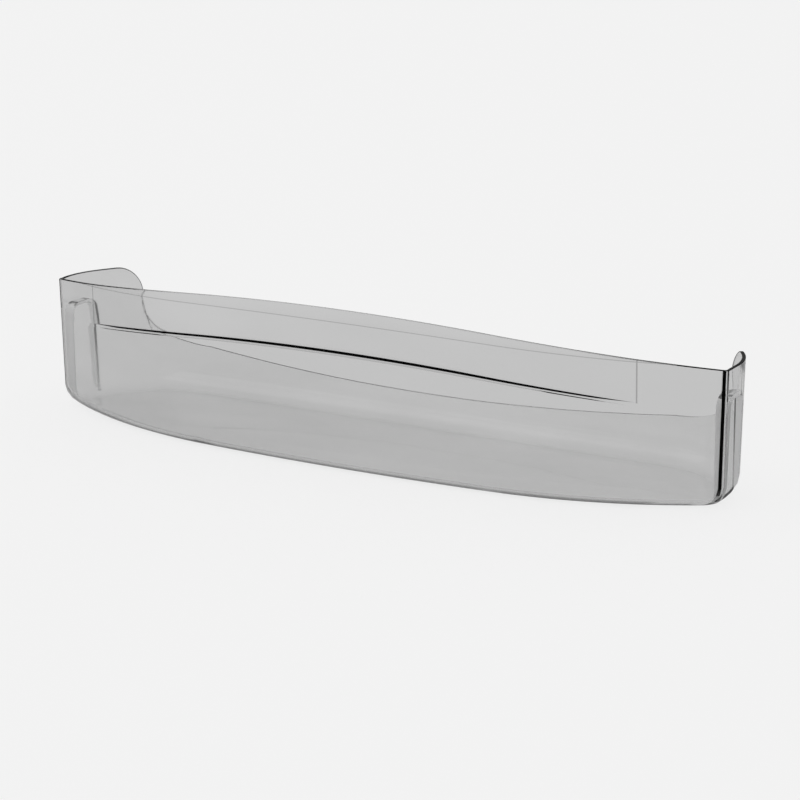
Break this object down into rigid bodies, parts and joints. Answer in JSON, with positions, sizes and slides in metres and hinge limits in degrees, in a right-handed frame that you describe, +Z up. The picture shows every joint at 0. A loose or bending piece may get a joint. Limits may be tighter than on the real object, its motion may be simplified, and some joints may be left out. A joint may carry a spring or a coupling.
{
  "type": "refrigerator door tray",
  "caption": "Clear smoke-grey moulded door tray with a tall bowed front, low back wall, raised rear corners and a hanging pocket in each end.",
  "frame": {"origin": "on the underside, midway between the two ends, in line with the front corners", "axes": "+X along the tray to its right end as the user sees it, -Y towards the user, +Z up"},
  "size_m": [0.46, 0.1221, 0.0985],
  "materials": {
    "smoke_plastic": "clear moulded styrene plastic, faintly smoked, polished"
  },
  "bodies": {
    "root": {"door_tray": "smoke_plastic"}
  },
  "joints": []
}
